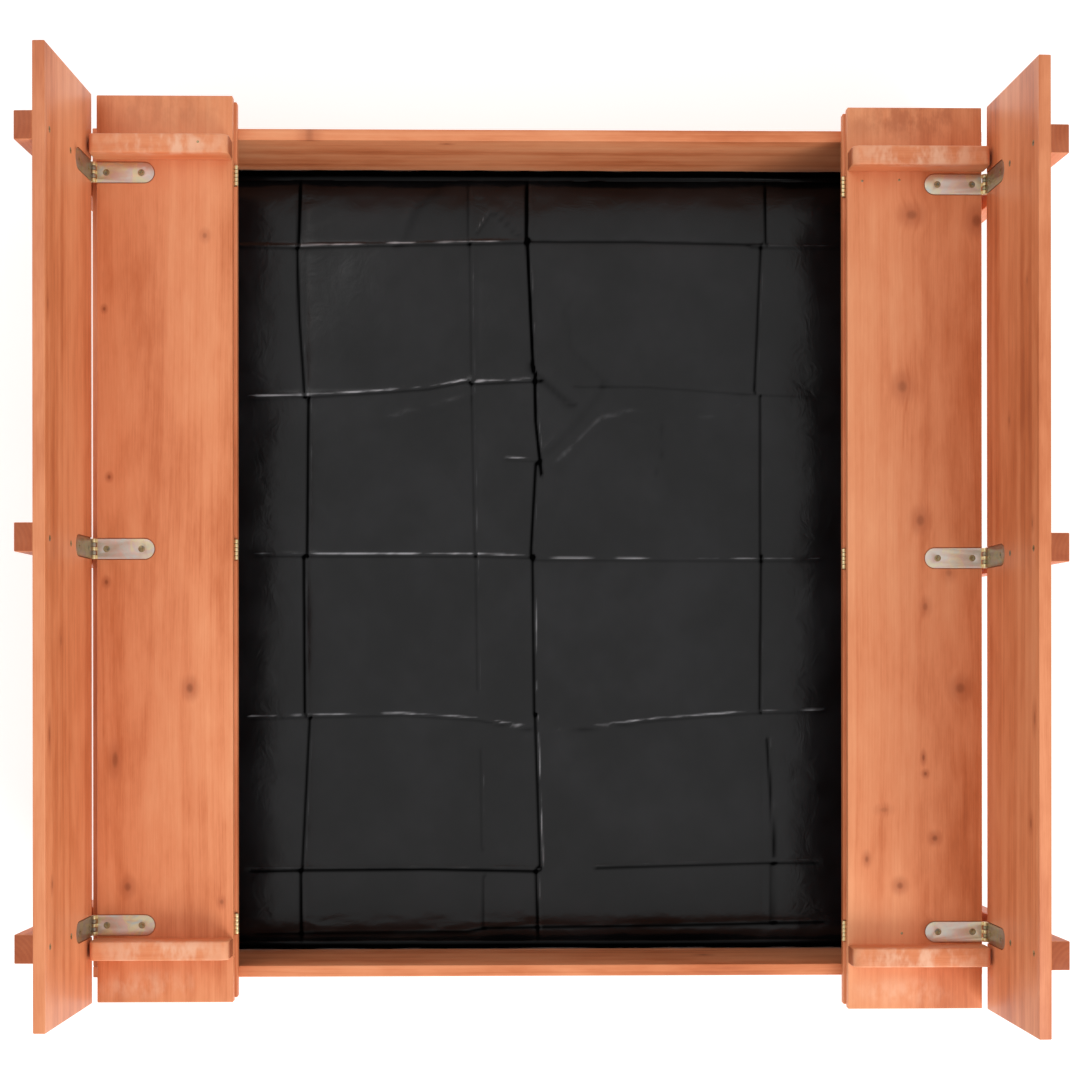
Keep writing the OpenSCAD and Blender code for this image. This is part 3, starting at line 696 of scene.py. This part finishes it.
def shade_group():
    """Smooth shading, with sharp edges where faces meet at more than SMOOTH_ANGLE."""
    group, t, source, sink = new_group("smooth_by_angle", "GeometryNodeTree",
                                       {"Geometry": "Geometry"}, {"Geometry": "Geometry"})
    plain = t.add("GeometryNodeRemoveAttribute", {"Geometry": source.outputs[0], "Name": "custom_normal"})
    faces = t.add("GeometryNodeSetShadeSmooth", {"Geometry": plain.outputs[0]}, domain="FACE")
    soft = t.math("LESS_THAN", t.add("GeometryNodeInputMeshEdgeAngle").outputs[0], SMOOTH_ANGLE)
    edges = t.add("GeometryNodeSetShadeSmooth", {"Geometry": faces.outputs[0], "Shade Smooth": soft},
                  domain="EDGE")
    t.fill(sink, {0: edges.outputs[0]})
    return group


ARRIS = arris_group()
TILT = next(item.identifier for item in ARRIS.interface.items_tree if item.name == "Tilt")
SHADE = shade_group()


def add_modifier(piece, name, kind, **props):
    modifier = piece.modifiers.new(name, kind)
    for key, value in props.items():
        setattr(modifier, key, value)
    return modifier


def polish(node, width, boards=False, tilt=0.0, segments=3):
    """Welds a CAD node's faces and rounds its edges; boards keep their holes and pockets crisp."""
    piece = nodes[node]
    add_modifier(piece, "weld", "WELD", merge_threshold=WELD_DISTANCE)
    add_modifier(piece, "flat", "DECIMATE", decimate_type="DISSOLVE", angle_limit=FLAT_ANGLE)
    if boards:
        add_modifier(piece, "mark", "NODES", node_group=ARRIS)[TILT] = tilt
    add_modifier(piece, "arris", "BEVEL", width=width, segments=segments, use_clamp_overlap=False,
                 limit_method="WEIGHT" if boards else "ANGLE", angle_limit=BEVEL_ANGLE)
    add_modifier(piece, "shade", "NODES", node_group=SHADE)


def dress(node, material):
    nodes[node].data.materials.clear()
    nodes[node].data.materials.append(material)


# ---------------------------------------------------------------- wooden parts

BOARD_ARRIS = 1.1 * MM
CLEAT_ARRIS = 2.0 * MM
BATTEN_ARRIS = 0.9 * MM
BLOCK_ARRIS = 0.7 * MM

# How much paler or darker than the middle tone each kind of part is
TONE = {"seat": 0.06, "bench": -0.06, "backrest": -0.02, "cleat": 0.16, "batten": -0.12,
        "rail": 0.02, "side": 0.0, "block": -0.05}
BACKREST_COAT = 0.32
CLEAT_RUB = 0.85
SEAT_RUB = 0.45
SEAT_SHADE_FADE = {"left": 0.9, "right": -2.6}    # painted shade: change of tone for each metre to the right, so each seat darkens towards its backrest
# Painted shade on each seat beside its rear cleat; below zero is darker
REAR_CLEAT_SHADE = {"left": -0.3, "right": -0.6}

# Knots that show: (point, width, length, depth), in metres
SEAT_KNOTS = {
    "left": [
        ((-0.368, -0.141, 0), 0.0042, 0.0060, 0.75), ((-0.433, -0.349, 0), 0.0040, 0.0055, 0.7),
        ((-0.446, -0.216, 0), 0.0035, 0.0100, 0.65), ((-0.457, 0.256, 0), 0.0018, 0.0024, 0.8),
        ((-0.455, -0.030, 0), 0.0022, 0.0030, 0.8), ((-0.352, 0.333, 0), 0.0028, 0.0036, 0.5),
        ((-0.452, 0.080, 0), 0.0020, 0.0026, 0.8), ((-0.335, -0.365, 0), 0.0024, 0.0030, 0.6)],
    "right": [
        ((0.381, 0.176, 0), 0.0060, 0.0075, 0.55), ((0.400, 0.035, 0), 0.0050, 0.0070, 0.6),
        ((0.442, -0.142, 0), 0.0062, 0.0066, 0.6), ((0.405, -0.056, 0), 0.0032, 0.0050, 0.5),
        ((0.415, -0.300, 0), 0.0034, 0.0036, 0.75), ((0.378, -0.350, 0), 0.0040, 0.0042, 0.7),
        ((0.391, 0.357, 0), 0.0070, 0.0060, 0.6), ((0.460, 0.351, 0), 0.0060, 0.0080, 0.75),
        ((0.403, -0.215, 0), 0.0016, 0.0040, 0.8), ((0.405, -0.232, 0), 0.0020, 0.0024, 0.8),
        ((0.410, -0.395, 0), 0.0040, 0.0040, 0.7), ((0.343, -0.322, 0), 0.0022, 0.0040, 0.7),
        ((0.430, -0.020, 0), 0.0040, 0.0050, 0.35), ((0.361, -0.270, 0), 0.0050, 0.0030, 0.35)],
}
BACKREST_KNOTS = {
    "left": [
        ((0, -0.093, 0.281), 0.0040, 0.0060, 0.45), ((0, -0.185, 0.321), 0.0035, 0.0110, 0.7),
        ((0, 0.230, 0.325), 0.0030, 0.0070, 0.5), ((0, -0.330, 0.312), 0.0030, 0.0050, 0.6),
        ((0, 0.405, 0.227), 0.0026, 0.0034, 0.5)],
    "right": [
        ((0, 0.130, 0.243), 0.0030, 0.0050, 0.45), ((0, -0.273, 0.310), 0.0036, 0.0060, 0.65),
        ((0, -0.170, 0.322), 0.0036, 0.0080, 0.55), ((0, 0.020, 0.315), 0.0030, 0.0046, 0.5),
        ((0, 0.260, 0.300), 0.0028, 0.0050, 0.4)],
}
RAIL_KNOTS = {
    "front_rail": [((0.18, 0, 0.070), 0.0045, 0.0060, 0.65)],
    "rear_rail": [((-0.10, 0, 0.125), 0.0020, 0.0040, 0.6), ((-0.245, 0, 0.137), 0.0020, 0.0060, 0.5)],
}


def dress_cover(side, sign):
    """A side's seat, bench and backrest. Each board is cut from its own place in a tree."""
    seat, bench, back = (f"{side}_{kind}_board" for kind in ("seat", "bench", "backrest"))
    lo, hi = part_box(seat)
    mid = (lo.x + hi.x) / 2
    # painted shade on the seat beside its rear cleat
    rear_cleat_shade = ((mid, hi.y - 0.010, hi.z), (0.11, 0.040, 0.02), REAR_CLEAT_SHADE[side])
    front_rub = ((mid - 0.02, lo.y + 0.018, hi.z), (0.08, 0.022, 0.02), SEAT_RUB)
    dress(seat, wood(f"wood_{seat}", "Y", (mid + sign * 0.030, -0.085, 0.3 * sign), TONE["seat"],
                     SEAT_KNOTS[side], [rear_cleat_shade, front_rub],
                     shade_fade=((mid, 0, 0), (SEAT_SHADE_FADE[side], 0, 0))))
    dress(bench, wood(f"wood_{bench}", "Y", (mid - sign * 0.05, -0.11, 1.3 + sign), TONE["bench"]))
    dress(back, wood(f"wood_{back}", "Y", (sign * 0.600, 0.250, 2.1 * sign), TONE["backrest"],
                     BACKREST_KNOTS[side], flat="X", coat=BACKREST_COAT))
    for board in (seat, bench):
        polish(board, BOARD_ARRIS, boards=True)
    polish(back, BOARD_ARRIS, boards=True, tilt=-sign * lean_of(side))


def dress_bars(side, sign):
    """A side's two cleats on the seat and three battens behind the backrest."""
    for place in ("front", "rear"):
        cleat = f"{side}_{place}_cleat"
        lo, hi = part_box(cleat)
        x, y = (lo.x + hi.x) / 2, (lo.y + hi.y) / 2
        rub = ((x, y, hi.z), (0.10, 0.03, 0.016), CLEAT_RUB)
        dress(cleat, wood(f"wood_{cleat}", "X", (-0.10 + 0.02 * sign, y + 0.03, 0.7), TONE["cleat"],
                          scuffs_and_shade=[rub]))
        polish(cleat, CLEAT_ARRIS, segments=4)
    for i, place in enumerate(("front", "middle", "rear")):
        batten = f"{side}_{place}_batten"
        lo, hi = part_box(batten)
        pith = (sign * (0.52 + 0.01 * i), (lo.y + hi.y) / 2 - 0.02 + 0.013 * i, i)
        dress(batten, wood(f"wood_{batten}", "Z", pith, TONE["batten"]))
        polish(batten, BATTEN_ARRIS)


def dress_box():
    """The four walls and the corner blocks."""
    for rail, y in (("front_rail", -0.45), ("rear_rail", 0.45)):
        dress(rail, wood(f"wood_{rail}", "X", (-0.16, y + 0.05, 1.0), TONE["rail"],
                         RAIL_KNOTS[rail], flat="Y"))
        polish(rail, BOARD_ARRIS, boards=True)
    for side, sign in SIDES.items():
        board = f"{side}_side_board"
        dress(board, wood(f"wood_{board}", "Y", (sign * 0.40, 0.22, 1.9), TONE["side"],
                          [((0, 0.21 * sign, 0.060), 0.0045, 0.0060, 0.6)], flat="X"))
        polish(board, BOARD_ARRIS, boards=True)
        for place in ("front", "rear"):
            block = f"{place}_{side}_block"
            lo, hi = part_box(block)
            dress(block, wood(f"wood_{block}", "Z", (lo.x - 0.03, hi.y + 0.02, 0.2), TONE["block"]))
            polish(block, BLOCK_ARRIS)


# ---------------------------------------------------------------- metal parts

LEAF_ARRIS = 0.25 * MM
PIN_ARRIS = 0.2 * MM
SCREW_ARRIS = 0.12 * MM
# The zinc's warm film and pale share for each side, painted lighter on the right, where the leaves catch
# more light, with a painted sheen on the seat leaves and the knuckles
WARM_FILM_AND_SIDE_LIGHT = {"left": (198, 172, 138), "right": (230, 218, 176)}
SEAT_LEAF_PALE_AND_SHEEN = {"left": 0.15, "right": 0.35}
KNUCKLE_PALE_AND_SHEEN = 0.4
BACKREST_LEAF_FILM = (150, 132, 92)
BACKREST_LEAF_DARK = 0.55
PIN_BRIGHTNESS = 0.45

# Heads of the nails that show: the body, the board that they sit on, and x and y
NAILS = [("right_seat", "right_seat_board", 0.3388, 0.3926),
         ("right_seat", "right_seat_board", 0.3779, 0.3937),
         ("right_seat", "right_seat_board", 0.3799, -0.4002),
         ("left_seat", "left_rear_cleat", -0.3543, 0.4229)]
NAIL_RADIUS = 1.3 * MM
NAIL_RISE = 0.25 * MM
NAIL_LIFT = 0.02 * MM


def dress_metal():
    screws, pins = screw_metal("screw_zinc"), screw_metal("pin_steel", PIN_BRIGHTNESS)
    for side in SIDES:
        warm = WARM_FILM_AND_SIDE_LIGHT[side]
        seat_leaf = zinc(f"zinc_outer_{side}", warm, pin_of(side, "backrest"), pale=SEAT_LEAF_PALE_AND_SHEEN[side])
        knuckle = zinc(f"zinc_inner_{side}", warm, pin_of(side, "seat"), pale=KNUCKLE_PALE_AND_SHEEN)
        back_leaf = zinc(f"zinc_back_{side}", BACKREST_LEAF_FILM, dark=BACKREST_LEAF_DARK)
        for kind, metal, arris in (
                ("seat_outer_leaves", seat_leaf, LEAF_ARRIS), ("backrest_leaves", back_leaf, LEAF_ARRIS),
                ("seat_inner_leaves", knuckle, LEAF_ARRIS), ("bench_leaves", knuckle, LEAF_ARRIS),
                ("inner_pins", pins, PIN_ARRIS), ("outer_pins", pins, PIN_ARRIS),
                ("bench_leaf_screws", screws, SCREW_ARRIS), ("seat_leaf_screws", screws, SCREW_ARRIS),
                ("backrest_leaf_screws", screws, SCREW_ARRIS), ("bench_screws", screws, SCREW_ARRIS),
                ("cleat_screws", screws, SCREW_ARRIS), ("batten_screws", screws, SCREW_ARRIS)):
            dress(f"{side}_{kind}", metal)
            polish(f"{side}_{kind}", arris, segments=2)
    dress("wall_screws", screws)
    polish("wall_screws", SCREW_ARRIS, segments=2)
    make_nails(screws)


def make_nails(steel):
    """Low domed heads of small nails, each resting on its board."""
    for number, (body, board, x, y) in enumerate(NAILS):
        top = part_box(board)[1].z
        bm = bmesh.new()
        bmesh.ops.create_uvsphere(bm, u_segments=20, v_segments=10, radius=NAIL_RADIUS)
        bmesh.ops.bisect_plane(bm, geom=bm.verts[:] + bm.edges[:] + bm.faces[:], plane_co=(0, 0, 0),
                               plane_no=(0, 0, -1), clear_outer=True)
        bmesh.ops.holes_fill(bm, edges=bm.edges)
        bmesh.ops.scale(bm, vec=(1, 1, NAIL_RISE / NAIL_RADIUS), verts=bm.verts)
        bmesh.ops.translate(bm, vec=(x, y, top + NAIL_LIFT), verts=bm.verts)
        bmesh.ops.recalc_face_normals(bm, faces=bm.faces)
        mesh = bpy.data.meshes.new(f"nail_{number}")
        bm.to_mesh(mesh)
        bm.free()
        mesh.shade_smooth()
        mesh.materials.append(steel)
        nail = add_object(f"nail_{number}", mesh)
        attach(nail, body)


# ---------------------------------------------------------------- stage, light and camera

FLOOR_HALF = 14.0
FLOOR_GLOW = 0.35
WORLD_LIGHT = 0.76
# name, place, aim, side length and power in watts of each softbox
LIGHTS = [("key", (1.6, -2.6, 2.1), (0.05, 0.0, 0.1), 1.6, 62.0),
          ("fill", (-1.7, 1.6, 2.8), (0.0, 0.0, 0.1), 1.8, 14.0)]

# The camera looks straight down from above the front half, as the lens's shift shows
CAMERA_PLACE = (-34.5 * MM, -127.1 * MM, 2155.2 * MM)
CAMERA_YAW = -0.0167
CAMERA_ROLL = -0.0009
SENSOR = 36.0
FOCAL = 1.756759    # focal length and shift as shares of the picture's width
SHIFT_Y = 0.124537


def make_stage():
    mesh = bpy.data.meshes.new("floor")
    corners = [(x * FLOOR_HALF, y * FLOOR_HALF, 0) for x, y in ((-1, -1), (1, -1), (1, 1), (-1, 1))]
    mesh.from_pydata(corners, [], [(0, 1, 2, 3)])
    material, t, shader = new_material("pale_floor")
    tint = t.noise(t.place(), 3.0)
    t.fill(shader, {"Base Color": t.mix(tint, srgb(244, 244, 244), srgb(248, 248, 248)),
                    "Roughness": 0.8, "Specular IOR Level": 0.1,
                    "Emission Color": (1, 1, 1, 1), "Emission Strength": FLOOR_GLOW})
    mesh.materials.append(material)
    add_object("floor", mesh)


def make_lights():
    world = bpy.data.worlds.new("studio")
    bpy.context.scene.world = world
    world.use_nodes = True
    background = world.node_tree.nodes["Background"]
    background.inputs["Color"].default_value = (1.0, 1.0, 1.0, 1.0)
    background.inputs["Strength"].default_value = WORLD_LIGHT
    for name, place, aim, size, power in LIGHTS:
        light = bpy.data.lights.new(name, "AREA")
        light.shape = "SQUARE"
        light.size = size
        light.energy = power
        lamp = add_object(name, light)
        lamp.location = place
        lamp.rotation_mode = "QUATERNION"
        lamp.rotation_quaternion = (Vector(aim) - Vector(place)).to_track_quat("-Z", "Y")
        lamp.visible_camera = False


def make_camera():
    data = bpy.data.cameras.new("camera")
    data.sensor_fit = "AUTO"
    data.sensor_width = SENSOR
    data.lens = SENSOR * FOCAL
    data.shift_y = SHIFT_Y
    data.clip_start, data.clip_end = 0.1, 60.0
    camera = add_object("camera", data)
    turn = Matrix.Rotation(CAMERA_YAW, 4, "Y") @ Matrix.Rotation(CAMERA_ROLL, 4, "Z")
    camera.matrix_world = Matrix.Translation(CAMERA_PLACE) @ turn
    bpy.context.scene.camera = camera


make_camera()
make_stage()
make_lights()
for each_side, each_sign in SIDES.items():
    dress_cover(each_side, each_sign)
    dress_bars(each_side, each_sign)
dress_box()
dress_metal()
make_liner()

scene = bpy.context.scene
scene.view_settings.view_transform = "Standard"
scene.view_settings.look = "None"
